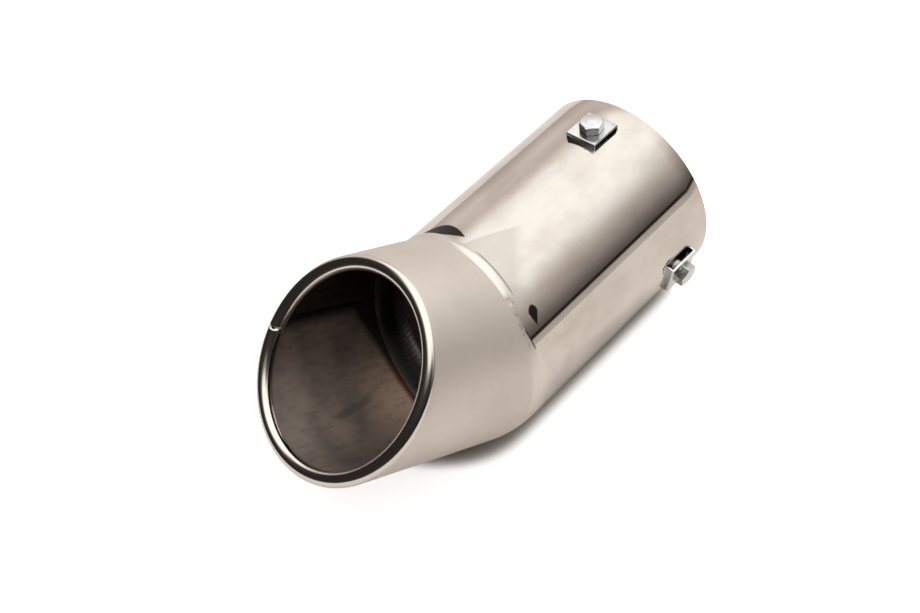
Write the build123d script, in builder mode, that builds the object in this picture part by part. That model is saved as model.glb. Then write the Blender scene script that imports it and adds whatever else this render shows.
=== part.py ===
from build123d import *
import os
from math import atan, cos, radians, sin, sqrt, tan

# Bent exhaust tip: two sleeves of one diameter, mitred and welded, with a rolled-in slanted lip at
# the outlet and three clamp bolts on pressed saddles near the inlet.
# The origin is the centre of the inlet end. +Y runs out of the inlet along its axis and +Z is up.
# The tip lies on its side: the inlet sleeve and the lowest clamp bolt touch the floor.

# Sleeves
sleeve_diameter = 76.0
sleeve_wall = 1.2
inlet_length = 97.5  # inlet end to the mitre, on the axis
outlet_length = 50.4  # mitre to the middle of the mouth, on the axis
bend_angle = 24.5
bend_lean = 32.5  # the bend's plane leans this far from upright, towards -X
end_break = 0.3  # broken edge round the inlet end

# Rolled lip
mouth_slope = 22.3  # the mouth leans back from a square cut, its upper edge furthest
lip_radius = 2.8  # of the roll, outside
lip_lap = 6.0  # degrees of the roll that lie inside the wall, where they are fewest
lip_sweep = 285.0
lip_inset = 0.1  # the roll stays this far inside the sleeve's own surface

# Seam of the outlet sleeve and the notch where the roll's ends meet
seam_angle = 167.0  # round the outlet axis, from the +X side over the bottom
seam_width = 2.4
seam_height = 0.35
seam_end_gap = 0.3  # between the seam weld and the roll
notch_width = 1.4
notch_depth = 0.9

# Mitre weld
weld_gap = 1.4  # between the two sleeves' walls
root_width = 13.0  # bead inside
root_height = 2.1
cap_width = 4.7  # ground band outside, on the concave side
cap_height = 0.36  # at the bend's inner corner
cap_end_height = 0.12
cap_shift = 1.5  # the band's middle lies this far towards the inlet
cap_span = 84.0  # it runs this far round to each side of the bend's inner corner

# Saddles
clamp_angles = (-8.0, 97.5, 215.0)  # about the inlet axis, from straight up towards +X
clamp_station = 17.0  # from the inlet end to the bolts' plane
saddle_length = 14.3  # along the sleeve
saddle_width = 12.7  # round the sleeve
saddle_height = 2.1  # plate's top above the sleeve
saddle_sheet = 0.9
saddle_bend = 1.0  # outer radius of the folds
saddle_corner = 0.4
collar_wall = 1.1  # round the tapped hole, down to the sleeve

# Clamp bolts
thread_diameter = 5.0
bolt_length = 16.0
head_flats = 8.0
head_height = 3.5
head_chamfer = 28.0  # degrees, round the head's top
washer_face = 0.2
bolt_end_chamfer = 0.8
thread_clearance = 0.05  # between bolt and tapped collar, radially
hole_clearance = 0.6  # between bolt and the sleeve's hole, radially
head_turns = (12.0, -20.0, 5.0)  # how far each head happens to be turned

sleeve_radius = sleeve_diameter / 2
bore_radius = sleeve_radius - sleeve_wall
thread_radius = thread_diameter / 2
half_bend = radians(bend_angle / 2)

# Directions and frames
inlet_way = Vector(0, -1, 0)
bend_side = Vector(-sin(radians(bend_lean)), 0, cos(radians(bend_lean)))
outlet_way = inlet_way * cos(2 * half_bend) + bend_side * sin(2 * half_bend)
mitre_centre = inlet_way * inlet_length
mitre_long_axis = bend_side * cos(half_bend) - inlet_way * sin(half_bend)

inlet_frame = Plane(origin=(0, 0, 0), x_dir=(1, 0, 0), z_dir=inlet_way)
mitre_plane = Plane(
    origin=mitre_centre, x_dir=mitre_long_axis, z_dir=(inlet_way + outlet_way).normalized()
)
level_way = Vector(0, 0, 1).cross(outlet_way).normalized()
outlet_frame = Plane(origin=mitre_centre, x_dir=level_way, z_dir=outlet_way)
upper_way = outlet_frame.y_dir


def mouth_plane_at(slope):
    """Plane through the middle of the mouth, leaned back from square by this slope."""
    normal = outlet_way * cos(slope) + upper_way * sin(slope)
    middle = mitre_centre + outlet_way * outlet_length
    return Plane(origin=middle, x_dir=level_way, z_dir=normal)


def tube(frame, length):
    """Straight tube of the sleeves' section on the frame's normal, long enough to be cut."""
    with BuildPart() as piece:
        with BuildSketch(frame.offset(-sleeve_radius)):
            Circle(sleeve_radius)
            Circle(bore_radius, mode=Mode.SUBTRACT)
        extrude(amount=length + 2 * sleeve_radius)
    return piece.part


def rod(frame, radius, length):
    """Solid rod on the frame's normal, long enough to pass the mitre at both ends."""
    with BuildPart() as piece:
        with BuildSketch(frame.offset(-sleeve_radius)):
            Circle(radius)
        extrude(amount=length + 2 * sleeve_radius)
    return piece.part


def bent_core(radius):
    """The space inside both sleeves up to this radius, mitred as the sleeves are."""
    inlet_rod = rod(inlet_frame, radius, inlet_length)
    outlet_rod = rod(outlet_frame, radius, outlet_length)
    inlet_core = split(inlet_rod, bisect_by=mitre_plane, keep=Keep.BOTTOM)
    outlet_core = split(outlet_rod, bisect_by=mitre_plane, keep=Keep.TOP)
    return inlet_core + outlet_core


def oval(frame, half_x, half_y):
    """Closed path of four tangent arcs that follows the ellipse of these half axes."""
    shift = (half_x - half_y) / (2 - sqrt(2))
    with BuildLine(frame) as path:
        CenterArc((shift, 0), half_x - shift, -45, 90)
        CenterArc((0, -shift), half_y + shift, 45, 90)
        CenterArc((-shift, 0), half_x - shift, 135, 90)
        CenterArc((0, shift), half_y + shift, 225, 90)
    return path.wire()


def section_at_start(frame, path):
    """Plane across the start of an oval path: x points outwards, y against the frame's normal."""
    return Plane(origin=path @ 0, x_dir=(path % 0).cross(frame.z_dir), z_dir=path % 0)


def bead_round(width, height):
    """Radius of the arc that makes a bead of this width and height."""
    return (width**2 / 4 + height**2) / (2 * height)


def clamp_frame(angle):
    """Frame on the inlet axis in the bolts' plane: z points out along the bolt, x to the inlet."""
    outward = Vector(sin(radians(angle)), 0, cos(radians(angle)))
    return Plane(origin=(0, -clamp_station, 0), x_dir=(0, 1, 0), z_dir=outward)


clamp_frames = [clamp_frame(angle) for angle in clamp_angles]
inlet_stock = tube(inlet_frame, inlet_length)
outlet_stock = tube(outlet_frame, outlet_length)
inlet_rod = rod(inlet_frame, sleeve_radius, inlet_length)
outlet_bore = rod(outlet_frame, bore_radius, outlet_length)
outer_core = bent_core(sleeve_radius)
bore_core = bent_core(bore_radius)

os.makedirs("parts", exist_ok=True)


# Inlet sleeve
with BuildPart() as inlet_sleeve:
    add(inlet_stock)
    split(bisect_by=inlet_frame, keep=Keep.TOP)
    split(bisect_by=mitre_plane.offset(-weld_gap / 2), keep=Keep.BOTTOM)
    inlet_end = inlet_sleeve.faces().sort_by(Axis.Y)[-1]
    chamfer(inlet_end.edges(), end_break)
    for frame in clamp_frames:
        with BuildSketch(frame):
            Circle(thread_radius + hole_clearance)
        extrude(amount=sleeve_diameter, mode=Mode.SUBTRACT)
inlet_sleeve.part.label = "inlet_sleeve"
export_step(inlet_sleeve.part, "parts/inlet_sleeve.step")


# Outlet sleeve: the wall ends where the roll touches the sleeve's surface
roll_path_radius = sleeve_radius - lip_radius - lip_inset
slope = radians(mouth_slope)
mouth = mouth_plane_at(slope)
wall_end = mouth_plane_at(atan(tan(slope) * roll_path_radius / sleeve_radius))

roll_path = oval(mouth, roll_path_radius, roll_path_radius / cos(slope))

with BuildPart() as outlet_sleeve:
    add(outlet_stock)
    split(bisect_by=mitre_plane.offset(weld_gap / 2), keep=Keep.TOP)
    split(bisect_by=wall_end, keep=Keep.BOTTOM)
    with BuildSketch(section_at_start(mouth, roll_path)):
        with BuildLine():
            outer = CenterArc((0, 0), lip_radius, mouth_slope + lip_lap, -lip_sweep)
            inner = CenterArc((0, 0), lip_radius - sleeve_wall, mouth_slope + lip_lap, -lip_sweep)
            Line(outer @ 0, inner @ 0)
            Line(outer @ 1, inner @ 1)
        make_face()
    sweep(path=roll_path)
    # the notch where the two ends of the roll meet
    notch_way = level_way * cos(radians(seam_angle)) - upper_way * sin(radians(seam_angle))
    notch_reach = (sleeve_radius - lip_radius) * notch_way
    rise = -tan(slope) * (notch_reach.dot(upper_way))
    notch_top = mouth.origin + notch_reach + outlet_way * (rise + lip_radius / cos(slope))
    notch_frame = Plane(origin=notch_top, x_dir=outlet_way.cross(notch_way), z_dir=outlet_way)
    with BuildSketch(notch_frame.offset(-notch_depth)):
        RectangleRounded(notch_width, 3 * lip_radius, notch_width / 2 - 0.05)
    extrude(amount=3 * notch_depth, mode=Mode.SUBTRACT)
outlet_sleeve.part.label = "outlet_sleeve"
export_step(outlet_sleeve.part, "parts/outlet_sleeve.step")


# Mitre weld: a bead inside, a shallow ground band outside on the concave side, and the metal that
# fills the gap between the two walls
root_round = bead_round(root_width, root_height)
root_path = oval(mitre_plane, bore_radius / cos(half_bend), bore_radius)
with BuildPart() as root_bead:
    with BuildSketch(section_at_start(mitre_plane, root_path)):
        with Locations((root_round - root_height, 0)):
            Circle(root_round)
    sweep(path=root_path)
    add(bore_core, mode=Mode.INTERSECT)

cap_round = bead_round(cap_width, cap_height)
cap_plane = mitre_plane.offset(-cap_shift)
cap_half_length = sleeve_radius / cos(half_bend) + cap_shift * tan(half_bend)
cap_path = oval(cap_plane, cap_half_length, sleeve_radius - cap_height + cap_end_height)
cap_ends = Plane(
    origin=mitre_centre + sleeve_radius * cos(radians(cap_span)) * mitre_long_axis,
    z_dir=mitre_long_axis,
)
with BuildPart() as cap_band:
    with BuildSketch(section_at_start(cap_plane, cap_path)):
        with Locations((cap_height - cap_round, 0)):
            Circle(cap_round)
    sweep(path=cap_path)
    split(bisect_by=cap_ends, keep=Keep.TOP)
    add(outer_core, mode=Mode.SUBTRACT)

with BuildPart() as mitre_weld:
    add(outer_core)
    add(bore_core, mode=Mode.SUBTRACT)
    split(bisect_by=mitre_plane.offset(weld_gap / 2), keep=Keep.BOTTOM)
    split(bisect_by=mitre_plane.offset(-weld_gap / 2), keep=Keep.TOP)
    add(root_bead.part)
    add(cap_band.part)
mitre_weld.part.label = "mitre_weld"
export_step(mitre_weld.part, "parts/mitre_weld.step")


# Seam weld of the outlet sleeve: a low bead inside, from the mitre's bead to the roll
seam_round = bead_round(seam_width, seam_height)
seam_middle = (bore_radius + seam_round - seam_height) * notch_way
with BuildPart() as outlet_seam_weld:
    with BuildSketch(outlet_frame.shift_origin(outlet_frame.origin + seam_middle)):
        Circle(seam_round)
    extrude(amount=outlet_length + sleeve_radius, both=True)
    add(outlet_bore, mode=Mode.INTERSECT)
    split(bisect_by=mitre_plane.offset(weld_gap / 2), keep=Keep.TOP)
    split(bisect_by=mouth.offset(-lip_radius - seam_end_gap), keep=Keep.BOTTOM)
    add(root_bead.part, mode=Mode.SUBTRACT)
outlet_seam_weld.part.label = "outlet_seam_weld"
export_step(outlet_seam_weld.part, "parts/outlet_seam_weld.step")


def side_plane(frame):
    """Plane through the frame's z axis: x along the sleeve, y outwards."""
    return Plane(origin=frame.origin, x_dir=frame.x_dir, z_dir=-frame.y_dir)


def saddle(frame):
    """Pressed bridge: a plate on two legs that stand on the sleeve, with a tapped collar."""
    top = sleeve_radius + saddle_height
    foot = sqrt(sleeve_radius**2 - saddle_width**2 / 4) - saddle_sheet
    with BuildPart() as piece:
        with BuildSketch(side_plane(frame)) as strip:
            with Locations((0, (foot + top) / 2)):
                Rectangle(saddle_length, top - foot)
            fillet(strip.vertices().group_by(Axis.Y)[-1], saddle_bend)
            with BuildSketch(mode=Mode.PRIVATE) as hollow:
                with Locations((0, (foot + top - saddle_sheet) / 2)):
                    Rectangle(saddle_length - 2 * saddle_sheet, top - saddle_sheet - foot)
                fillet(hollow.vertices().group_by(Axis.Y)[-1], saddle_bend - saddle_sheet)
            add(hollow.sketch, mode=Mode.SUBTRACT)
        extrude(amount=saddle_width / 2, both=True)
        with BuildSketch(frame.offset(foot)):
            Circle(thread_radius + thread_clearance + collar_wall)
        extrude(amount=top - saddle_sheet / 2 - foot)
        add(inlet_rod, mode=Mode.SUBTRACT)
        with BuildSketch(frame):
            RectangleRounded(saddle_length, saddle_width, saddle_corner)
        extrude(amount=sleeve_diameter, mode=Mode.INTERSECT)
        with BuildSketch(frame):
            Circle(thread_radius + thread_clearance)
        extrude(amount=sleeve_diameter, mode=Mode.SUBTRACT)
    return piece.part


def clamp_bolt(frame, turn):
    """Hex-head bolt, screwed in until its washer face seats on the saddle."""
    seat = frame.offset(sleeve_radius + saddle_height)
    corner_radius = head_flats / sqrt(3)
    top_radius = 0.95 * head_flats / 2
    chamfer_drop = (corner_radius - top_radius) * tan(radians(head_chamfer))
    with BuildPart() as piece:
        with BuildSketch(seat.offset(washer_face)):
            RegularPolygon(corner_radius, 6, rotation=turn)
        extrude(amount=head_height - washer_face)
        with BuildSketch(side_plane(seat)):
            with BuildLine():
                Polyline(
                    (0, 0),
                    (corner_radius, 0),
                    (corner_radius, head_height - chamfer_drop),
                    (top_radius, head_height),
                    (0, head_height),
                    close=True,
                )
            make_face()
        revolve(axis=Axis(seat.origin, seat.z_dir), mode=Mode.INTERSECT)
        with BuildSketch(seat):
            Circle(top_radius)
        extrude(amount=washer_face)
        with BuildSketch(seat):
            Circle(thread_radius)
        extrude(amount=-bolt_length)
        bolt_end = piece.faces().sort_by(Axis(seat.origin, seat.z_dir))[0]
        chamfer(bolt_end.edges(), bolt_end_chamfer)
    return piece.part


# Saddles and clamp bolts, one of each at every clamp angle
for number, (frame, turn) in enumerate(zip(clamp_frames, head_turns), start=1):
    one_saddle = saddle(frame)
    one_saddle.label = f"saddle_{number}"
    export_step(one_saddle, f"parts/saddle_{number}.step")
    one_bolt = clamp_bolt(frame, turn)
    one_bolt.label = f"clamp_bolt_{number}"
    export_step(one_bolt, f"parts/clamp_bolt_{number}.step")
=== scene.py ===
from math import atan2, cos, pi, radians, sin, sqrt, tan

import bmesh
import bpy
from bpy.props import FloatProperty, FloatVectorProperty, IntProperty, PointerProperty
from mathutils import Matrix, Vector


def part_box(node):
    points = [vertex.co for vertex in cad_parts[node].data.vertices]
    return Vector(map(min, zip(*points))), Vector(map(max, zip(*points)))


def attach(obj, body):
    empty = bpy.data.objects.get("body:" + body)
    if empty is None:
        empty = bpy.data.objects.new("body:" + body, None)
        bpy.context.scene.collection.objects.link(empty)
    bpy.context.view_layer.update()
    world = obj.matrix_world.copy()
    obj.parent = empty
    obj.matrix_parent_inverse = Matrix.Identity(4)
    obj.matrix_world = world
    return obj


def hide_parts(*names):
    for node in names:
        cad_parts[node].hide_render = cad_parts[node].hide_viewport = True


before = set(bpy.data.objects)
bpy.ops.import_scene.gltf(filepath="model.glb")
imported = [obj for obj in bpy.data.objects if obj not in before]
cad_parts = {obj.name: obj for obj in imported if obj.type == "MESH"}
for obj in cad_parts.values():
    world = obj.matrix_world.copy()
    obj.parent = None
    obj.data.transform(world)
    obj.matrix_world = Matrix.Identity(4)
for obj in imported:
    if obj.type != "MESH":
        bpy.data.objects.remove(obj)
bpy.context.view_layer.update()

bl_info = {
    "name": "Exhaust tip",
    "version": (1, 0, 0),
    "blender": (4, 5, 0),
    "location": "3D View > Sidebar > Exhaust tip",
    "description": "Dresses the bent exhaust tip: sleeves, welds, saddles, bolts and studio",
    "category": "Add Mesh",
}

MM = 0.001
IN_MM = (1000, 1000, 1000)  # stretch that turns metres into millimetres
MERGE = 0.002 * MM  # vertices nearer than this become one
CLAMPS = (1, 2, 3)
inlet_low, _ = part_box("inlet_sleeve")


# Sizes and colours

def length(name, description, default):
    return FloatProperty(
        name=name, description=description, default=default, unit="LENGTH", precision=5
    )


def angle(name, description, degrees):
    return FloatProperty(
        name=name, description=description, default=radians(degrees), subtype="ANGLE"
    )


def colour(name, description, default):
    return FloatVectorProperty(
        name=name, description=description, default=default, subtype="COLOR", size=3,
        min=0, max=1,
    )


class TipSleeveSizes(bpy.types.PropertyGroup):
    """Sizes of the two sleeves, the lip and the welds"""

    radius: length("Radius", "Outer radius of both sleeves", -inlet_low.z)
    wall: length("Wall", "Sheet thickness", 1.2 * MM)
    inlet_length: length("Inlet length", "Inlet end to the mitre, on the axis", 97.5 * MM)
    outlet_length: length("Outlet length", "Mitre to the middle of the mouth", 50.4 * MM)
    bend: angle("Bend", "Angle between the two sleeves", 24.5)
    lean: angle("Lean", "How far the bend's plane leans from upright", 32.5)
    end_break: length("End break", "Broken edge round the inlet end", 0.3 * MM)
    mouth_slope: angle("Mouth slope", "How far the mouth leans back from square", 22.3)
    lip_radius: length("Lip radius", "Outside radius of the rolled lip", 2.8 * MM)
    lip_inset: length("Lip inset", "The roll stays this far inside the sleeve", 0.05 * MM)
    lip_sweep: angle("Lip sweep", "How far round the sheet is rolled", 285)
    seam_angle: angle("Seam angle", "Place of the seam round the outlet", 167)
    seam_width: length("Seam width", "Width of the seam weld", 2.4 * MM)
    seam_height: length("Seam height", "Height of the seam weld", 0.35 * MM)
    notch_width: length("Notch width", "Width of the notch in the lip", 1.5 * MM)
    notch_depth: length("Notch depth", "Depth of the notch in the lip", 0.9 * MM)
    weld_gap: length("Weld gap", "Gap between the sleeves' walls", 1.4 * MM)
    root_width: length("Root width", "Width of the bead inside the mitre", 13 * MM)
    root_height: length("Root height", "Height of the bead inside the mitre", 2.1 * MM)
    band_width: length("Band width", "Width of the ground band outside", 3.5 * MM)
    band_height: length("Band height", "Height of the ground band", 0.3 * MM)
    band_shift: length("Band shift", "How far the band lies towards the inlet", 0.85 * MM)
    band_span: angle("Band span", "How far round the band runs to each side", 84)
    ease_reach: length("Eased length", "How far the bend's outer corner is rounded", 8.4 * MM)
    ease_radius: length("Eased radius", "Radius of the bend's outer corner", 40 * MM)
    steps: IntProperty(name="Steps", description="Divisions round a sleeve", default=288)


class TipHardwareSizes(bpy.types.PropertyGroup):
    """Sizes of the saddles and clamp bolts"""

    station: length("Station", "Inlet end to the bolts' plane", 17 * MM)
    place_1: angle("First bolt", "Place round the sleeve, from straight up to +X", -8)
    place_2: angle("Second bolt", "Place round the sleeve, from straight up to +X", 97.5)
    place_3: angle("Third bolt", "Place round the sleeve, from straight up to +X", 215)
    turn_1: angle("First turn", "How far the first head happens to be turned", 12)
    turn_2: angle("Second turn", "How far the second head happens to be turned", -20)
    turn_3: angle("Third turn", "How far the third head happens to be turned", 5)
    saddle_height: length("Saddle height", "Plate's top above the sleeve", 2.1 * MM)
    edge_round: length("Edge round", "Rounding of the pressed plate's edges", 0.16 * MM)
    hole_radius: length("Hole radius", "Hole in the sleeve under each saddle", 3.1 * MM)
    thread_radius: length("Thread radius", "Crest radius of the bolt's thread", 2.5 * MM)
    thread_pitch: length("Thread pitch", "Rise of the thread for each turn", 0.8 * MM)
    thread_depth: length("Thread depth", "Crest to root of the thread", 0.49 * MM)
    bolt_length: length("Bolt length", "Under the head", 16 * MM)
    end_chamfer: length("End chamfer", "At the bolt's end", 0.8 * MM)
    head_flats: length("Across flats", "Width of the hex head", 8 * MM)
    head_height: length("Head height", "Height of the hex head", 3.5 * MM)
    head_chamfer: angle("Head chamfer", "Slope of the chamfer round the head's top", 28)
    washer_face: length("Washer face", "Height of the round face under the head", 0.2 * MM)
    head_edge: length("Head edge", "Rounding of the head's edges", 0.14 * MM)


class TipFinishes(bpy.types.PropertyGroup):
    """Colours of the metal, the heat tint and the floor"""

    polished: colour("Polished", "Polished steel of the inlet sleeve", (0.665, 0.63, 0.585))
    satin: colour("Satin", "Satin steel of the outlet sleeve", (0.78, 0.725, 0.675))
    lip: colour("Lip", "Buffed steel of the rolled lip", (0.70, 0.665, 0.62))
    ground: colour("Ground", "Ground weld metal", (0.72, 0.69, 0.65))
    zinc: colour("Zinc", "Bright zinc plate", (0.72, 0.735, 0.74))
    scale: colour("Scale", "Dark scale inside the sleeves", (0.36, 0.305, 0.28))
    brown: colour("Brown", "Heat-tinted steel inside", (0.64, 0.53, 0.465))
    straw: colour("Straw", "Lighter heat tint beside the weld", (0.80, 0.62, 0.50))
    # Painted shade: this near-black is painted into the shaded wall inside the sleeves and into dark
    # reflections beside the weld, and it also colours thin dark lines there
    dark_lines_and_painted_shade: colour("Soot", "Near-black scale on the shaded wall and burnt spots", (0.03, 0.028, 0.027))
    rust: colour("Rust", "Red heat tint beside the weld", (0.70, 0.22, 0.09))
    floor: colour("Floor", "Studio floor", (0.80, 0.77, 0.745))


class TipStudio(bpy.types.PropertyGroup):
    """The studio's light, floor and camera"""

    overhead: FloatProperty(name="Overhead", description="Strength overhead", default=1.5)
    floor_size: length("Floor size", "The table's width and depth", 3.0)
    floor_left: length("Floor left", "The table's edge on the -X side", 0.24)
    floor_front: length("Floor front", "The table's edge on the -Y side", 0.30)
    floor_fill: FloatProperty(
        name="Floor fill", description="Light added to the floor where it is seen", default=0.75
    )
    focal_length: FloatProperty(
        name="Focal length", description="Of the camera, in millimetres", default=69.72
    )


def sleeves():
    return bpy.context.scene.tip_sleeves


def hardware():
    return bpy.context.scene.tip_hardware


def finishes():
    return bpy.context.scene.tip_finishes


def studio():
    return bpy.context.scene.tip_studio


# Frames of the sleeves, the mitre and the bolts

def frame_at(origin, z_way, x_way):
    """Matrix of a frame with its z along z_way and its x near x_way."""
    z = z_way.normalized()
    x = (x_way - z * x_way.dot(z)).normalized()
    matrix = Matrix((x, z.cross(x), z)).transposed().to_4x4()
    matrix.translation = origin
    return matrix


class Layout:
    """Directions and frames that all the pieces share."""

    def __init__(self):
        s = sleeves()
        half = s.bend / 2
        self.half_bend = half
        self.inlet_way = Vector((0, -1, 0))
        self.bend_side = Vector((-sin(s.lean), 0, cos(s.lean)))
        self.outlet_way = self.inlet_way * cos(s.bend) + self.bend_side * sin(s.bend)
        self.outlet_side = self.bend_side * cos(s.bend) - self.inlet_way * sin(s.bend)
        self.centre = self.inlet_way * s.inlet_length
        self.mitre_way = (self.inlet_way + self.outlet_way).normalized()
        self.long_way = self.bend_side * cos(half) - self.inlet_way * sin(half)
        self.level_way = Vector((0, 0, 1)).cross(self.outlet_way).normalized()
        self.inlet = frame_at(Vector((0, 0, 0)), self.inlet_way, Vector((1, 0, 0)))
        self.outlet = frame_at(self.centre, self.outlet_way, self.level_way)
        self.mitre = frame_at(self.centre, self.mitre_way, self.long_way)

    def mitre_height(self, matrix, co, offset):
        """Height over a sleeve frame's base at which the mitre plane passes over a point."""
        normal = (matrix.to_3x3().inverted() @ self.mitre_way).normalized()
        origin = matrix.inverted() @ (self.centre + self.mitre_way * offset)
        return origin.z - (normal.x * (co.x - origin.x) + normal.y * (co.y - origin.y)) / normal.z


def clamp_frame(number):
    """Frame of a clamp bolt: z out along it, x along the sleeve, origin on the inlet axis."""
    place = getattr(hardware(), f"place_{number}")
    outward = Vector((sin(place), 0, cos(place)))
    return frame_at(Vector((0, -hardware().station, 0)), outward, Vector((0, 1, 0)))


# Mesh helpers

def profile(bm, points, closed=True):
    """Chain of vertices in the XZ plane."""
    verts = [bm.verts.new((x, 0, z)) for x, z in points]
    ends = zip(verts, verts[1:] + verts[:1] if closed else verts[1:])
    edges = [bm.edges.new(pair) for pair in ends]
    return verts + edges


def full_spin(bm, geometry, steps):
    """Turns a chain all the way round Z."""
    bmesh.ops.spin(
        bm, geom=geometry, cent=(0, 0, 0), axis=(0, 0, 1), angle=2 * pi, steps=steps, use_merge=True
    )


def arc(centre, radius, start, sweep, count):
    """Points of an arc in the XZ plane, angles from +X towards +Z."""
    turns = [start + sweep * i / count for i in range(count + 1)]
    return [(centre[0] + radius * cos(t), centre[1] + radius * sin(t)) for t in turns]


def close_up(bm):
    """Merges doubles and turns the faces outwards."""
    bmesh.ops.remove_doubles(bm, verts=bm.verts, dist=MERGE)
    bmesh.ops.recalc_face_normals(bm, faces=bm.faces)


def make_piece(bm, name, nodes, body, materials, sharp=32):
    """Makes a mesh into a piece that stands for CAD nodes and rides on a body."""
    mesh = bpy.data.meshes.new(name)
    bm.to_mesh(mesh)
    bm.free()
    mesh.shade_smooth()
    mesh.set_sharp_from_angle(angle=radians(sharp))
    for material in materials:
        mesh.materials.append(material)
    piece = bpy.data.objects.new(name, mesh)
    bpy.context.scene.collection.objects.link(piece)
    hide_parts(*nodes)
    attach(piece, body)
    return piece


def boolean(bm, cutters, operation):
    """Cuts a mesh with others, or keeps what is common to them."""
    def shown(mesh_data, name):
        mesh = bpy.data.meshes.new(name)
        mesh_data.to_mesh(mesh)
        mesh_data.free()
        made = bpy.data.objects.new(name, mesh)
        bpy.context.scene.collection.objects.link(made)
        return made

    body = shown(bm, "cut_body")
    tools = [shown(cutter, "cut_tool") for cutter in cutters]
    for tool in tools:
        modifier = body.modifiers.new("cut", "BOOLEAN")
        modifier.operation = operation
        modifier.solver = "EXACT"
        modifier.object = tool
    graph = bpy.context.evaluated_depsgraph_get()
    result = bmesh.new()
    result.from_object(body, graph)
    for done in [body, *tools]:
        mesh = done.data
        bpy.data.objects.remove(done)
        bpy.data.meshes.remove(mesh)
    return result


def mark_faces(bm, index, test):
    """Gives a material index to the faces whose middle passes the test."""
    for face in bm.faces:
        if test(face.calc_center_median(), face):
            face.material_index = index


def ease_corner(bm, layout):
    """Rounds the bend's outer corner on both sides of the mitre."""
    s = sleeves()
    for vert in bm.verts:
        offset = vert.co - layout.centre
        before = offset.dot(layout.mitre_way) < 0
        way = layout.inlet_way if before else layout.outlet_way
        side = layout.bend_side if before else layout.outlet_side
        radial = offset - way * offset.dot(way)
        if radial.length < s.radius - 0.6 * s.wall:
            continue
        depth = s.ease_reach - abs(offset.dot(layout.mitre_way)) / cos(layout.half_bend)
        outward = radial.normalized()
        share_out = -outward.dot(side)
        if depth > 0 and share_out > 0:
            vert.co -= outward * share_out * depth * depth / (2 * s.ease_radius)


# Shader nodes

class Value:
    """Output socket on which sums and products can be written."""

    def __init__(self, graph, socket):
        self.graph = graph
        self.socket = socket

    def __add__(self, other):
        return self.graph.math("ADD", self, other)

    __radd__ = __add__

    def __mul__(self, other):
        return self.graph.math("MULTIPLY", self, other)

    __rmul__ = __mul__

    def __sub__(self, other):
        return self.graph.math("SUBTRACT", self, other)

    def __rsub__(self, other):
        return self.graph.math("SUBTRACT", other, self)

    def __truediv__(self, other):
        return self.graph.math("DIVIDE", self, other)


class Graph:
    """Node tree of a material or of the world."""

    def __init__(self, owner):
        owner.use_nodes = True
        self.tree = owner.node_tree
        self.tree.nodes.clear()

    def node(self, kind, settings=(), inputs=(), output=0):
        """Adds a node, sets it, fills or links its inputs and returns one output."""
        made = self.tree.nodes.new("ShaderNode" + kind)
        for key, value in dict(settings).items():
            if key == "stops":
                self.set_stops(made.color_ramp, value)
            else:
                setattr(made, key, value)
        for key, value in dict(inputs).items():
            if isinstance(value, Value):
                self.tree.links.new(value.socket, made.inputs[key])
            else:
                plain = made.inputs[key].type == "RGBA" and len(value) == 3
                made.inputs[key].default_value = (*value, 1) if plain else value
        return Value(self, made.outputs[output] if made.outputs else None)

    @staticmethod
    def set_stops(ramp, stops):
        while len(ramp.elements) < len(stops):
            ramp.elements.new(1.0)
        for element, (position, shade) in zip(ramp.elements, sorted(stops)):
            element.position = position
            element.color = (*shade, 1)

    def math(self, operation, *values):
        return self.node("Math", {"operation": operation}, dict(enumerate(values)))

    def mix(self, factor, a, b):
        """Mixes two colours."""
        return self.node("Mix", {"data_type": "RGBA"}, {0: factor, 6: a, 7: b}, 2)

    def split(self, vector):
        """The three parts of a vector."""
        made = self.node("SeparateXYZ", {}, {0: vector})
        return [Value(self, output) for output in made.socket.node.outputs]

    def smooth(self, value, low, high):
        """From 0 at low to 1 at high, with soft ends."""
        return self.node(
            "MapRange", {"interpolation_type": "SMOOTHSTEP"}, {0: value, 1: low, 2: high}
        )

    def noise(self, vector, scale, detail=2.0, roughness=0.5, distortion=0.0):
        return self.node(
            "TexNoise",
            {},
            {
                "Vector": vector, "Scale": scale, "Detail": detail, "Roughness": roughness,
                "Distortion": distortion,
            },
        )

    def place(self, matrix=None, stretch=(1, 1, 1)):
        """Object coordinates turned into a frame and stretched along its axes."""
        place = self.node("TexCoord", output="Object")
        if matrix is not None:
            inverse = matrix.inverted()
            place = self.node(
                "Mapping",
                {"vector_type": "POINT"},
                {
                    "Vector": place, "Location": inverse.translation,
                    "Rotation": inverse.to_euler("XYZ"),
                },
            )
        return self.node("Mapping", {"vector_type": "POINT"}, {"Vector": place, "Scale": stretch})

    def metal(self, colour, roughness, bump, height, strength, metallic=1.0):
        """Metal surface and the material's output."""
        normal = self.node(
            "Bump", {}, {"Strength": strength, "Distance": height, "Height": bump}
        )
        surface = self.node(
            "BsdfPrincipled",
            {},
            {
                "Metallic": metallic, "Base Color": colour, "Roughness": roughness,
                "Normal": normal,
            },
        )
        self.node("OutputMaterial", {}, {"Surface": surface})


def material(name, build):
    """Material of this name, made once."""
    found = bpy.data.materials.get(name)
    if found is None:
        found = bpy.data.materials.new(name)
        build(Graph(found))
    return found


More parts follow.
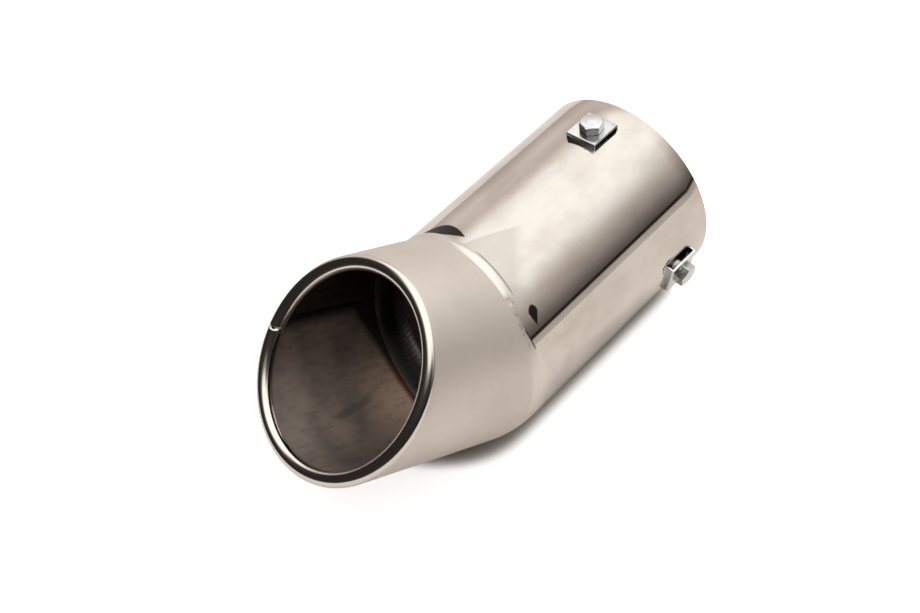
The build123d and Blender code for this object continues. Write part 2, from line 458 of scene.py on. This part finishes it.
class JointMarks:
    """Marks beside the mitre weld, placed in millimetres in the mitre's frame."""

    def __init__(self, g):
        up, side, along = g.split(g.place(Layout().mitre, IN_MM))
        self.up, self.side, self.along = up, side, along

        # A painted dark reflection on top, lens-shaped, between two curves across the sleeve
        from_tip = side + 3.5
        steeper = g.math("MAXIMUM", from_tip, 0.0)
        upper = -7.7 + 0.026 * from_tip * from_tip + 0.03 * steeper * steeper
        lower = -2.0 + 0.087 * side - 0.0125 * side * side
        self.lens = (
            g.smooth(along - upper, -0.2, 0.2) * g.smooth(lower - along, -0.15, 0.15)
            * g.smooth(up, 20, 25)
        )

        # A painted dark reflection on the near side, teardrop-shaped, its point towards the floor
        reach = up - 6.2
        half = g.math("MINIMUM", 0.4 * reach, 1.9)
        off = g.math("ABSOLUTE", along + 6.25 + 0.1 * reach)
        self.drop = (
            g.smooth(half - off, -0.2, 0.25) * g.smooth(13.9 - up - 0.5 * off * off, 0.0, 0.6)
            * g.smooth(0.0 - side, 20, 25)
        )

        # A dull, rougher patch that starts at the weld and fades out along a ragged edge; its darker
        # colour is a painted grey reflection
        wander = (g.noise(g.place(None, (140, 140, 140)), 1.0, 2.0) - 0.5) * 8
        self.patch = (
            g.smooth(0.436 * along - 13.1 - side, 0.0, 0.8)
            * g.smooth(along + 56.0 + 1.36 * side + wander, -1.0, 7) * g.smooth(up, 10, 16)
        )

        # Low on the joint the satin finish runs over the weld, further on the lower side
        border = g.math("MAXIMUM", -0.1 - 0.24 * g.math("MAXIMUM", 10.0 - up, 0.0), -9.0)
        soft = 0.35 + 0.3 * g.math("MAXIMUM", 0.0 - up, 0.0)
        self.blend = g.smooth((along - border) / soft, -1, 1) * (1.0 - g.smooth(up, 14, 20))

        # Thin dark lines beside that border and above it, along the ground band
        beside = g.math("ABSOLUTE", along - border)
        below = g.math("ABSOLUTE", along + 2.95)
        self.line = (
            0.8 * (1.0 - g.smooth(beside, 0.15, 0.5)) * (1.0 - g.smooth(up, 6, 9))
            * g.smooth(up, -1.5, 0)
            + 0.6 * (1.0 - g.smooth(below, 0.1, 0.4)) * g.smooth(up, 18, 21)
            * (1.0 - g.smooth(up, 32, 35)) * g.smooth(0.0 - side, 10, 20)
        )


def polished_steel():
    """Buffed inlet steel: a mirror with slight waves, dull in spots beside the weld, with painted
    grey and dark reflections there.
    """
    def build(g):
        f = finishes()
        matrix = Layout().inlet
        joint = JointMarks(g)
        waves = g.noise(g.place(matrix, (30, 30, 7)), 1.0, 2.0)
        marks = g.noise(g.place(matrix, (160, 160, 900)), 1.0, 3.0)
        cloud = g.noise(g.place(matrix, (70, 70, 45)), 1.0, 5.0, 0.6)
        dull = [f.polished[0] * 0.86, f.polished[1] * 0.83, f.polished[2] * 0.82]
        tone = g.mix(g.smooth(cloud, 0.35, 0.7), tuple(f.polished), dull)
        # Painted reflection: the patch's darker colour stands in for a grey reflection
        tone = g.mix(0.5 * joint.patch, tone, [c * 0.72 for c in f.polished])
        tone = g.mix(joint.blend, tone, tuple(f.satin))
        # Painted dark reflections: the lens and the teardrop take the near-black colour
        painted_dark_reflections = g.math("MAXIMUM", joint.lens, joint.drop)
        tone = g.mix(g.math("MAXIMUM", painted_dark_reflections, joint.line), tone, tuple(f.dark_lines_and_painted_shade))
        roughness = 0.04 + 0.09 * g.smooth(cloud, 0.45, 0.8) + 0.02 * marks
        roughness = roughness + 0.25 * joint.patch + 0.38 * joint.blend + 0.3 * painted_dark_reflections
        g.metal(tone, roughness, waves + 0.012 * marks, 0.4 * MM, 0.16)
    return material("polished_steel", build)


def buffed_lip():
    """Mirror-buffed steel of the rolled lip."""
    def build(g):
        f = finishes()
        marks = g.noise(g.place(None, (500, 500, 500)), 1.0, 3.0)
        g.metal(tuple(f.lip), 0.05 + 0.05 * marks, marks, 0.02 * MM, 0.1)
    return material("buffed_lip", build)


def satin_steel():
    """Satin outlet steel with fine brushing round the sleeve and faint clouds."""
    def build(g):
        f = finishes()
        matrix = Layout().outlet
        brushing = g.noise(g.place(matrix, (60, 60, 900)), 1.0, 2.0, 0.5)
        waves = g.noise(g.place(matrix, (28, 28, 12)), 1.0, 1.0)
        cloud = g.noise(g.place(matrix, (45, 45, 45)), 1.0, 4.0, 0.6)
        tone = g.mix(g.smooth(cloud, 0.3, 0.75), tuple(f.satin), [c * 0.93 for c in f.satin])
        tone = g.mix(0.10 * brushing, tone, [c * 0.75 for c in f.satin])
        roughness = 0.50 + 0.06 * g.smooth(cloud, 0.3, 0.8) + 0.05 * brushing
        g.metal(tone, roughness, waves, 0.4 * MM, 0.1)
    return material("satin_steel", build)


def ground_weld():
    """Weld metal ground flush outside: bright on top, dull and mottled lower down."""
    def build(g):
        f = finishes()
        matrix = Layout().mitre
        up, side, _ = g.split(g.place(matrix, IN_MM))
        marks = g.noise(g.place(matrix, (120, 120, 2400)), 1.0, 3.0, 0.6)
        mottle = g.noise(g.place(matrix, (260, 260, 260)), 1.0, 3.0, 0.6)
        bright = g.smooth(up, 17.5, 21) * g.smooth(0.0 - side, 4, 12)
        dull = g.mix(
            g.smooth(mottle, 0.4, 0.65) * g.smooth(up, -1, 4) * g.smooth(0.0 - side, 15, 25),
            tuple(f.satin),
            [c * 0.5 for c in f.satin],
        )
        roughness = 0.42 - 0.26 * bright + 0.12 * marks
        g.metal(g.mix(bright, dull, tuple(f.ground)), roughness, marks, 0.05 * MM, 0.25)
    return material("ground_weld", build)


def heat_tint(name, bead):
    """Heat-tinted steel inside: brown, with painted shade near-black past the seam, lighter and red
    by the bead, and a painted glint on the bead.
    """
    def build(g):
        f = finishes()
        layout = Layout()
        bore = (sleeves().radius - sleeves().wall) / MM
        across = g.split(g.place(layout.mitre, IN_MM))[2]
        level, rise, deep = g.split(g.place(layout.outlet, IN_MM))
        mottle = g.noise(g.place(layout.outlet, (70, 70, 110)), 1.0, 5.0, 0.55, 0.2)
        blotch = g.noise(g.place(layout.outlet, (26, 26, 40)), 1.0, 3.0, 0.5)
        grain = g.noise(g.place(layout.outlet, (600, 600, 600)), 1.0, 3.0, 0.6)
        speck = g.noise(g.place(layout.outlet, (420, 420, 200)), 1.0, 3.0, 0.6)
        floor_way = radians(-100)
        low = (level * cos(floor_way) + rise * sin(floor_way)) / bore
        tone = g.mix(g.smooth(blotch, 0.3, 0.7), tuple(f.scale), tuple(f.brown))
        tone = g.mix(g.smooth(mottle, 0.4, 0.75) * 0.25, tone, tuple(f.straw))

        # Lighter straw towards the bottom of the bore beside the weld, and a red heat-tint edge
        # there
        warm = g.smooth(low, 0.80, 0.95) * (1.0 - g.smooth(deep, 10, 30)) * g.smooth(across, 3, 7)
        tone = g.mix(0.95 * warm, tone, tuple(f.straw))
        edge = g.smooth(across, 6.0, 6.8) * (1.0 - g.smooth(across, 7.6, 10))
        tone = g.mix(edge * g.smooth(low, 0.78, 0.92), tone, tuple(f.rust))

        # One slanted dark streak, then fine specks
        round_way = g.math("ARCTAN2", rise, level) * bore + 68.7
        length_way = deep - 28.0
        off = g.math("ABSOLUTE", 0.98 * round_way - 0.20 * length_way + 3 * (blotch - 0.5))
        reach = g.math("ABSOLUTE", 0.20 * round_way + 0.98 * length_way)
        streak = (1.0 - g.smooth(off, 0.6, 2.2)) * (1.0 - g.smooth(reach, 6, 11))
        tone = g.mix(0.55 * streak, tone, [0.5 * c for c in f.scale])
        tone = g.mix(0.35 * g.smooth(speck, 0.45, 0.7), tone, [0.6 * c for c in f.scale])

        # Painted shade: near-black above a line that climbs towards the mitre, and all through the
        # inlet, where the wall lies in shade and mirrors the dark room
        lit = 0.45 + 0.0345 * g.math("MAXIMUM", 18.5 - deep, 0.0)
        dark = (1.0 - g.smooth(low - lit, -0.04, 0.10)) * g.smooth(across, -3, 2)
        dark = g.math("MAXIMUM", dark, 0.75 * (1.0 - g.smooth(across, -4, 3)))
        tone = g.mix(0.92 * dark, tone, tuple(f.dark_lines_and_painted_shade))
        roughness = 0.34 + 0.18 * mottle
        if bead:
            # Painted highlight: the bead is near-black, and its lighter colour towards the bottom of
            # the bore stands in for a glint
            painted_glint = g.mix(g.smooth(low, 0.62, 0.85), (0.03, 0.032, 0.035), (0.19, 0.20, 0.21))
            tone = g.mix(0.9, tone, painted_glint)
            roughness = roughness - 0.12
        g.metal(tone, roughness, 0.35 * mottle + 0.05 * grain, 0.25 * MM, 0.25, metallic=0.8)
    return material(name, build)


def zinc_plate(name, dullness):
    """Bright zinc plate with a slight grey bloom; dullness is its least roughness."""
    def build(g):
        f = finishes()
        cloud = g.noise(g.place(None, (320, 320, 320)), 1.0, 3.0, 0.6)
        grain = g.noise(g.place(None, (1500, 1500, 1500)), 1.0, 2.0)
        tone = g.mix(g.smooth(cloud, 0.35, 0.7), tuple(f.zinc), [c * 0.86 for c in f.zinc])
        roughness = dullness + 0.13 * g.smooth(cloud, 0.35, 0.75)
        g.metal(tone, roughness, cloud + 0.2 * grain, 0.08 * MM, 0.2)
    return material(name, build)


# Pieces

class TIP_OT_inlet_sleeve(bpy.types.Operator):
    """Builds the polished inlet sleeve with its mitred end and the holes under the saddles"""

    bl_idname = "tip.inlet_sleeve"
    bl_label = "Inlet sleeve"

    def execute(self, context):
        s, h, layout = sleeves(), hardware(), Layout()
        bore = s.radius - s.wall
        full = s.inlet_length
        rings = [full - d * MM for d in (9, 8, 7, 6, 5, 4, 3, 2.2, 1.4, 0.7, 0)]
        outside = arc((s.radius - s.end_break, s.end_break), s.end_break, -pi / 2, pi / 2, 4)
        outside += [(s.radius, z * MM) for z in (6, 30, 60)] + [(s.radius, z) for z in rings]
        inside = arc((bore + s.end_break, s.end_break), s.end_break, -pi, pi / 2, 4)
        bm = bmesh.new()
        full_spin(bm, profile(bm, outside + [(bore, full), (bore, full / 2)] + inside), s.steps)
        for vert in bm.verts:
            reach = layout.mitre_height(layout.inlet, vert.co, -s.weld_gap / 2)
            if vert.co.z > 1 * MM:
                vert.co.z *= reach / full
        close_up(bm)
        bm.transform(layout.inlet)
        cutters = []
        for number in CLAMPS:
            cutter = bmesh.new()
            bmesh.ops.create_cone(
                cutter, cap_ends=True, segments=48, radius1=h.hole_radius, radius2=h.hole_radius,
                depth=2 * s.radius, matrix=Matrix.Translation((0, 0, s.radius)),
            )
            cutter.transform(clamp_frame(number))
            cutters.append(cutter)
        bm = boolean(bm, cutters, "DIFFERENCE")
        ease_corner(bm, layout)
        mark_faces(bm, 1, lambda c, face: Vector((c.x, 0, c.z)).length < bore + 0.2 * s.wall)
        make_piece(
            bm, "inlet_tube", ["inlet_sleeve"], "tip",
            [polished_steel(), heat_tint("heat_tint", False)],
        )
        return {"FINISHED"}


class TIP_OT_outlet_sleeve(bpy.types.Operator):
    """Builds the satin outlet sleeve with its slanted rolled-in lip and the notch in it"""

    bl_idname = "tip.outlet_sleeve"
    bl_label = "Outlet sleeve"

    def execute(self, context):
        s, layout = sleeves(), Layout()
        bore = s.radius - s.wall
        full = s.outlet_length
        middle = s.radius - s.lip_inset - s.lip_radius
        slope = tan(s.mouth_slope)
        wall_steps = [d * MM for d in (0, 0.7, 1.4, 2.2, 3, 4, 5, 6, 7, 8, 9, 20)]
        points = [(s.radius, z) for z in wall_steps] + [(s.radius, full - 3 * MM)]
        roll_start = len(points)
        points += arc((middle, full), s.lip_radius, 0, s.lip_sweep, 36)
        points += arc((middle, full), s.lip_radius - s.wall, s.lip_sweep, -s.lip_sweep, 30)
        roll_end = len(points)
        points += [(bore, full - 3 * MM), (bore, full / 2), (bore, 0)]
        bm = bmesh.new()
        rolled = bm.verts.layers.int.new("rolled")
        chain = profile(bm, points)
        for index, vert in enumerate(v for v in chain if isinstance(v, bmesh.types.BMVert)):
            vert[rolled] = int(roll_start <= index < roll_end)

        # The notch gets finer steps than the rest of the turn
        fine = radians(8)
        spun = bmesh.ops.spin(
            bm, geom=chain, cent=(0, 0, 0), axis=(0, 0, 1), angle=fine, steps=60
        )
        bmesh.ops.spin(
            bm, geom=spun["geom_last"], cent=(0, 0, 0), axis=(0, 0, 1), angle=2 * pi - fine,
            steps=s.steps - 6,
        )
        bmesh.ops.rotate(
            bm, verts=bm.verts, cent=(0, 0, 0),
            matrix=Matrix.Rotation(-s.seam_angle - fine / 2, 3, "Z"),
        )
        bmesh.ops.remove_doubles(bm, verts=bm.verts, dist=MERGE)
        for vert in bm.verts:
            x, y, z = vert.co
            round_at = atan2(y, x)
            mouth = full - slope * middle * sin(round_at)
            if vert[rolled]:
                stretch = sqrt(1 + (slope * cos(round_at)) ** 2)
                vert.co.z = mouth + (z - full) * stretch
                self.dent(vert, round_at, mouth, middle)
            else:
                start = layout.mitre_height(layout.outlet, vert.co, s.weld_gap / 2)
                vert.co.z = start + (mouth - start) * z / full
        bmesh.ops.recalc_face_normals(bm, faces=bm.faces)

        def is_inside(centre, face):
            radial = Vector((centre.x, centre.y)).length
            crest = full - slope * middle * sin(atan2(centre.y, centre.x))
            off = Vector((radial - middle, centre.z - crest)).length
            if off < s.lip_radius - 0.5 * s.wall and centre.z > crest - 3 * MM:
                return True
            return abs(radial - bore) < 0.2 * s.wall and centre.z < crest
        mark_faces(bm, 1, is_inside)

        def is_roll(centre, face):
            return face.material_index == 0 and all(vert[rolled] for vert in face.verts)
        mark_faces(bm, 2, is_roll)
        bm.transform(layout.outlet)
        ease_corner(bm, layout)
        make_piece(
            bm, "outlet_tube", ["outlet_sleeve"], "tip",
            [satin_steel(), heat_tint("heat_tint", False), buffed_lip()],
        )
        return {"FINISHED"}

    @staticmethod
    def dent(vert, round_at, mouth, middle):
        """Sinks the roll's crest where its two ends meet."""
        s = sleeves()
        away = (round_at + s.seam_angle + pi) % (2 * pi) - pi
        across = abs(away) * middle / (s.notch_width / 2)
        if across < 1:
            height = (vert.co.z - mouth) / s.lip_radius
            if height > 0:
                vert.co.z -= s.notch_depth * (1 - across * across) ** 2 * height


class TIP_OT_mitre_weld(bpy.types.Operator):
    """Builds the mitre weld: rippled bead inside and ground band outside"""

    bl_idname = "tip.mitre_weld"
    bl_label = "Mitre weld"

    def execute(self, context):
        s, layout = sleeves(), Layout()
        bore = s.radius - s.wall
        half_gap, half_root = s.weld_gap / 2, s.root_width / 2
        low_band = -s.band_shift - s.band_width / 2
        high_band = -s.band_shift + s.band_width / 2
        sunk, hidden = s.radius - 0.3 * MM, bore + 0.1 * MM
        tops = [low_band + (-1 * MM - low_band) * i / 8 for i in range(9)]
        tops += [d * MM for d in (-0.72, -0.36, 0, 0.36, 0.72)] + [high_band]
        roots = [half_root - s.root_width * i / 24 for i in range(25)]
        points = [(sunk, low_band)] + [(s.radius, z) for z in tops] + [(sunk, high_band)]
        points += [(sunk, half_gap), (hidden, half_gap), (hidden, half_root)]
        points += [(bore, z) for z in roots]
        points += [(hidden, -half_root), (hidden, -half_gap), (sunk, -half_gap)]
        bm = bmesh.new()
        full_spin(bm, profile(bm, points), 2 * s.steps)
        for vert in bm.verts:
            radius = Vector((vert.co.x, vert.co.y)).length
            round_at = atan2(vert.co.y, vert.co.x)
            z = vert.co.z
            if radius > s.radius - 0.01 * MM:
                reach = (z + s.band_shift) / (s.band_width / 2)
                fade = max(0.0, 1 - (abs(round_at) / s.band_span) ** 2)
                radius += s.band_height * (1 - reach * reach) * fade
                if abs(z) > half_gap + 0.1 * MM:
                    radius -= 0.02 * MM + 0.38 * MM * (1 - fade) ** 3
            elif radius < bore + 0.05 * MM:
                ripple = 0.05 * MM * sin(round_at * 120 + 2.2 * cos(z / half_root * 1.4))
                wander = 0.5 * MM * sin(3 * round_at + 1) + 0.3 * MM * sin(7 * round_at)
                place = max(-1.0, min(1.0, (z + wander * (1 - (z / half_root) ** 2)) / half_root))
                radius -= (s.root_height + ripple) * (1 - place * place)
            vert.co.x = radius * cos(round_at) / cos(layout.half_bend)
            vert.co.x += abs(z) * tan(layout.half_bend)
            vert.co.y = radius * sin(round_at)
        close_up(bm)
        inner = bore + 0.05 * MM

        def is_inside(c, face):
            x = (c.x - abs(c.z) * tan(layout.half_bend)) * cos(layout.half_bend)
            return Vector((x, c.y)).length < inner
        mark_faces(bm, 1, is_inside)
        bm.transform(layout.mitre)
        ease_corner(bm, layout)
        make_piece(
            bm, "mitre_bead", ["mitre_weld"], "tip",
            [ground_weld(), heat_tint("heat_tint_bead", True)],
        )
        return {"FINISHED"}


class TIP_OT_seam_weld(bpy.types.Operator):
    """Builds the low seam weld that runs along the outlet's inside from the bead to the lip"""

    bl_idname = "tip.seam_weld"
    bl_label = "Seam weld"

    def execute(self, context):
        s, layout = sleeves(), Layout()
        bore = s.radius - s.wall
        half = s.seam_width / 2
        bm = bmesh.new()
        across = [half * (i / 8 - 1) for i in range(17)]
        verts = [
            bm.verts.new((bore - s.seam_height * (1 - (y / half) ** 2), y, 0)) for y in across
        ]
        verts += [bm.verts.new((bore + 0.1 * MM, y, 0)) for y in (half, -half)]
        face = bm.faces.new(verts)
        long = s.outlet_length - 3.2 * MM
        tall = long + tan(s.mouth_slope) * sin(s.seam_angle) * bore
        slices = 90
        last = [face]
        for _ in range(slices):
            grown = bmesh.ops.extrude_face_region(bm, geom=last, use_keep_orig=False)
            last = [g for g in grown["geom"] if isinstance(g, bmesh.types.BMFace)]
            moved = [g for g in grown["geom"] if isinstance(g, bmesh.types.BMVert)]
            bmesh.ops.translate(bm, verts=moved, vec=(0, 0, tall / slices))
        for vert in bm.verts:
            if vert.co.x < bore - 0.02 * MM:
                vert.co.x -= 0.05 * MM * sin(vert.co.z / MM * 5.2)
            vert.co.y += 0.12 * MM * sin(vert.co.z / MM * 0.55) * (vert.co.x < bore)
        close_up(bm)
        bmesh.ops.rotate(
            bm, verts=bm.verts, cent=(0, 0, 0), matrix=Matrix.Rotation(-s.seam_angle, 3, "Z")
        )
        bm.transform(layout.outlet)
        bmesh.ops.bisect_plane(
            bm, geom=bm.verts[:] + bm.edges[:] + bm.faces[:],
            plane_co=layout.centre + layout.mitre_way * 5.6 * MM, plane_no=layout.mitre_way,
            clear_inner=True,
        )
        bmesh.ops.holes_fill(bm, edges=bm.edges)
        bmesh.ops.recalc_face_normals(bm, faces=bm.faces)
        make_piece(
            bm, "seam_bead", ["outlet_seam_weld"], "tip",
            [heat_tint("heat_tint_bead", True)],
        )
        return {"FINISHED"}


class TIP_OT_saddles(bpy.types.Operator):
    """Builds the pressed saddles from the CAD plates, with their edges rounded"""

    bl_idname = "tip.saddles"
    bl_label = "Saddles"

    def execute(self, context):
        h = hardware()
        for number in CLAMPS:
            node = f"saddle_{number}"
            bm = bmesh.new()
            bm.from_mesh(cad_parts[node].data)
            bmesh.ops.remove_doubles(bm, verts=bm.verts, dist=MERGE)
            bmesh.ops.dissolve_limit(
                bm, angle_limit=radians(0.5), verts=bm.verts, edges=bm.edges, delimit=set()
            )
            piece = make_piece(
                bm, f"saddle_plate_{number}", [node], "tip",
                [zinc_plate("zinc_saddle", 0.17)],
            )
            bevel = piece.modifiers.new("edges", "BEVEL")
            bevel.width = h.edge_round
            bevel.segments = 3
            bevel.limit_method = "ANGLE"
            bevel.angle_limit = radians(40)
            bevel.harden_normals = True
        return {"FINISHED"}


class TIP_OT_clamp_bolts(bpy.types.Operator):
    """Builds the hex-head clamp bolts with a real thread"""

    bl_idname = "tip.clamp_bolts"
    bl_label = "Clamp bolts"

    def execute(self, context):
        s, h = sleeves(), hardware()
        for number in CLAMPS:
            node = f"clamp_bolt_{number}"
            seat = clamp_frame(number) @ Matrix.Translation((0, 0, s.radius + h.saddle_height))
            bm = self.head(getattr(h, f"turn_{number}") + pi / 6)
            thread = self.thread()
            mesh = bpy.data.meshes.new("thread")
            thread.to_mesh(mesh)
            thread.free()
            bm.from_mesh(mesh)
            bpy.data.meshes.remove(mesh)
            bm.transform(seat)
            make_piece(
                bm, f"hex_bolt_{number}", [node], f"bolt_{number}",
                [zinc_plate("zinc_bolt", 0.16)], sharp=28,
            )
        return {"FINISHED"}

    @staticmethod
    def head(turn):
        """Hex head with a chamfered top and a round washer face."""
        h = hardware()
        corner = h.head_flats / sqrt(3)
        top = 0.95 * h.head_flats / 2
        drop = (corner - top) * tan(h.head_chamfer)
        height = h.head_height
        prism = bmesh.new()
        bmesh.ops.create_cone(
            prism, cap_ends=True, segments=6, radius1=corner, radius2=corner, depth=height,
            matrix=Matrix.Translation((0, 0, height / 2)) @ Matrix.Rotation(turn, 4, "Z"),
        )
        upright = [
            e for e in prism.edges if abs(e.verts[0].co.z - e.verts[1].co.z) > 0.5 * height
        ]
        bmesh.ops.bevel(
            prism, geom=upright, offset=h.head_edge, segments=3, profile=0.5, affect="EDGES",
            material=-1,
        )
        lathe = bmesh.new()
        outline = [(0, 0), (top, 0), (top, h.washer_face), (corner, h.washer_face)]
        outline += [(corner, height - drop), (top, height - 0.03 * MM)]
        outline += [(top - 0.12 * MM, height), (0, height)]
        full_spin(lathe, profile(lathe, outline, closed=False), 96)
        close_up(lathe)
        return boolean(prism, [lathe], "INTERSECT")

    @staticmethod
    def thread():
        """Threaded shank that hangs under the head, with a chamfered end."""
        h = hardware()
        pitch, crest = h.thread_pitch, h.thread_radius
        root = crest - h.thread_depth
        steps = 36
        turns = int(h.bolt_length / pitch) + 2
        bm = bmesh.new()
        tooth = [(root, 0), (root, 0.12), (crest, 0.44), (crest, 0.56), (root, 0.88), (root, 1)]
        chain = profile(bm, [(r, z * pitch) for r, z in tooth], closed=False)
        bmesh.ops.spin(
            bm, geom=chain, cent=(0, 0, 0), axis=(0, 0, 1), dvec=(0, 0, -pitch / steps),
            angle=2 * pi * turns, steps=steps * turns,
        )
        bmesh.ops.remove_doubles(bm, verts=bm.verts, dist=0.004 * MM)
        everything = bm.verts[:] + bm.edges[:] + bm.faces[:]
        bmesh.ops.bisect_plane(
            bm, geom=everything, plane_co=(0, 0, 0.1 * MM), plane_no=(0, 0, 1), clear_outer=True
        )
        everything = bm.verts[:] + bm.edges[:] + bm.faces[:]
        bmesh.ops.bisect_plane(
            bm, geom=everything, plane_co=(0, 0, -h.bolt_length), plane_no=(0, 0, -1),
            clear_outer=True,
        )
        bmesh.ops.holes_fill(bm, edges=bm.edges)
        for vert in bm.verts:
            up = vert.co.z + h.bolt_length
            limit = crest - max(0.0, h.end_chamfer - up)
            radius = Vector((vert.co.x, vert.co.y)).length
            if radius > limit:
                vert.co.x *= limit / radius
                vert.co.y *= limit / radius
        bmesh.ops.recalc_face_normals(bm, faces=bm.faces)
        return bm


# Stage

def make_floor():
    """Pale floor that the tip lies on."""
    st = studio()
    bm = bmesh.new()
    bmesh.ops.create_grid(bm, x_segments=1, y_segments=1, size=st.floor_size / 2)
    middle = st.floor_size / 2
    bmesh.ops.translate(
        bm, verts=bm.verts,
        vec=(middle - st.floor_left, middle - st.floor_front, inlet_low.z - 0.02 * MM),
    )
    mesh = bpy.data.meshes.new("floor")
    bm.to_mesh(mesh)
    bm.free()

    def build(g):
        f = finishes()
        # Painted contact shadow: close to the tip the floor's colour is darker, and less of its glow
        # is seen or mirrored. The warm glow that mirrored rays see is painted light.
        near = g.node("AmbientOcclusion", {"samples": 24}, {"Distance": 12 * MM}, "AO")
        shade = g.mix(g.smooth(near, 0.25, 0.85), [0.35 * c for c in f.floor], tuple(f.floor))
        plain = g.node("BsdfDiffuse", {}, {"Color": shade})
        seen = g.node("LightPath", output="Is Camera Ray")
        mirrored = g.node("LightPath", output="Is Glossy Ray")
        through = g.node("LightPath", output="Is Transmission Ray")
        wide = g.node("AmbientOcclusion", {"samples": 12}, {"Distance": 60 * MM}, "AO")
        amount = (
            (seen + through) * studio().floor_fill * g.smooth(near, 0.57, 0.93)
            + 0.26 * mirrored * g.smooth(wide, 0.4, 0.95)
        )
        tone = g.mix(mirrored, (1, 1, 1), (1, 0.90, 0.84))
        glow = g.node("Emission", {}, {"Color": tone, "Strength": amount})
        both = g.node("AddShader", {}, {0: plain, 1: glow})
        g.node("OutputMaterial", {}, {"Surface": both})
    mesh.materials.append(material("studio_floor", build))
    floor = bpy.data.objects.new("floor", mesh)
    bpy.context.scene.collection.objects.link(floor)


def elevation_stops(levels, full):
    """Ramp stops from elevations in degrees, each with a brightness and a tint."""
    return [((sin(radians(e)) + 1) / 2, [c * b / full for c in tint]) for e, b, tint in levels]


def make_light(scene):
    """Soft studio light: bright overhead, dimmer warm walls, a dark line low on the +X side."""
    world = bpy.data.worlds.new("studio")
    scene.world = world
    g = Graph(world)
    st = studio()
    top = st.overhead
    cool, warm = (1, 0.985, 0.95), (1, 0.905, 0.84)
    plus = [
        (-90, 0.7, warm), (0, 0.62, warm), (5.0, 0.55, warm), (5.8, 0.02, warm),
        (8.4, 0.02, warm), (9.2, 0.12, warm), (13, 0.17, warm), (18, 0.26, warm),
        (23, 0.38, warm), (29, 0.5, warm), (36, 0.72, warm), (42, 0.97, cool),
        (47, 1.23, cool), (53, top * 0.97, cool), (65, top, cool),
    ]
    minus = [
        (-90, 0.6, warm), (-10, 0.6, warm), (0, 0.78, warm), (5, 0.86, warm), (12, 0.82, warm),
        (22, 0.8, warm), (28, 1.0, warm), (36, 1.35, cool), (45, top * 0.97, cool),
        (60, top, cool),
    ]
    front = [
        (-90, 0.12, warm), (-20, 0.08, warm), (0, 0.03, warm), (20, 0.03, warm),
        (40, 0.06, warm), (50, 0.35, cool), (57, 1.2, cool), (66, top, cool),
    ]
    direction = g.node("TexCoord", output="Generated")
    x, y, z = g.split(direction)
    height = z * 0.5 + 0.5
    level = g.math("SQRT", x * x + y * y)
    side = x / g.math("MAXIMUM", level, 0.001)
    bright, dim, dark = [
        g.node("ValToRGB", {"stops": elevation_stops(levels, top)}, {0: height})
        for levels in (plus, minus, front)
    ]
    shade = g.mix(g.smooth(side, -0.25, 0.6), dim, bright)
    ahead = y / g.math("MAXIMUM", level, 0.001)
    shade = g.mix(g.smooth(ahead, 0.35, -0.05), shade, dark)
    camera = g.node("LightPath", output="Is Camera Ray")
    shade = g.mix(camera, shade, [1 / top] * 3)
    lit = g.node("Background", {}, {"Color": shade, "Strength": top})
    g.node("OutputWorld", {}, {"Surface": lit})


def make_camera(scene):
    """Camera at the photograph's viewing angle."""
    data = bpy.data.cameras.new("camera")
    data.sensor_fit = "HORIZONTAL"
    data.sensor_width = 36
    data.lens = studio().focal_length
    data.clip_start = 0.01
    camera = bpy.data.objects.new("camera", data)

    # Solved from the outlines of the sleeves and the lip in the photograph
    forward = Vector((-0.40625, 0.47320, -0.78169))
    right = Vector((0.75875, 0.65139, 0))
    up = right.cross(forward)
    camera.matrix_world = Matrix((right, up, -forward)).transposed().to_4x4()
    camera.location = Vector((251.795, -389.734, 501.433)) * MM
    scene.collection.objects.link(camera)
    scene.camera = camera


class TIP_OT_stage(bpy.types.Operator):
    """Builds the floor, the studio light and the camera"""

    bl_idname = "tip.stage"
    bl_label = "Stage"

    def execute(self, context):
        scene = context.scene
        make_floor()
        make_light(scene)
        make_camera(scene)
        scene.view_settings.view_transform = "Standard"
        return {"FINISHED"}


class TIP_PT_sidebar(bpy.types.Panel):
    """Lists the pieces of the exhaust tip and their sizes"""

    bl_idname = "TIP_PT_sidebar"
    bl_label = "Exhaust tip"
    bl_space_type = "VIEW_3D"
    bl_region_type = "UI"
    bl_category = "Exhaust tip"

    def draw(self, context):
        for operator in OPERATORS:
            self.layout.operator(operator.bl_idname)
        for name, group in GROUPS.items():
            box = self.layout.box()
            box.label(text=group.__doc__)
            for key in group.__annotations__:
                box.prop(getattr(context.scene, name), key)


OPERATORS = (
    TIP_OT_stage, TIP_OT_inlet_sleeve, TIP_OT_outlet_sleeve, TIP_OT_mitre_weld,
    TIP_OT_seam_weld, TIP_OT_saddles, TIP_OT_clamp_bolts,
)
GROUPS = {
    "tip_sleeves": TipSleeveSizes, "tip_hardware": TipHardwareSizes,
    "tip_finishes": TipFinishes, "tip_studio": TipStudio,
}


def register():
    for group in (*GROUPS.values(), *OPERATORS, TIP_PT_sidebar):
        bpy.utils.register_class(group)
    for name, group in GROUPS.items():
        setattr(bpy.types.Scene, name, PointerProperty(type=group))


def unregister():
    for name in GROUPS:
        delattr(bpy.types.Scene, name)
    for group in (TIP_PT_sidebar, *OPERATORS, *GROUPS.values()):
        bpy.utils.unregister_class(group)


def main():
    register()
    for operator in OPERATORS:
        family, name = operator.bl_idname.split(".")
        getattr(getattr(bpy.ops, family), name)()


if __name__ == "__main__":
    main()
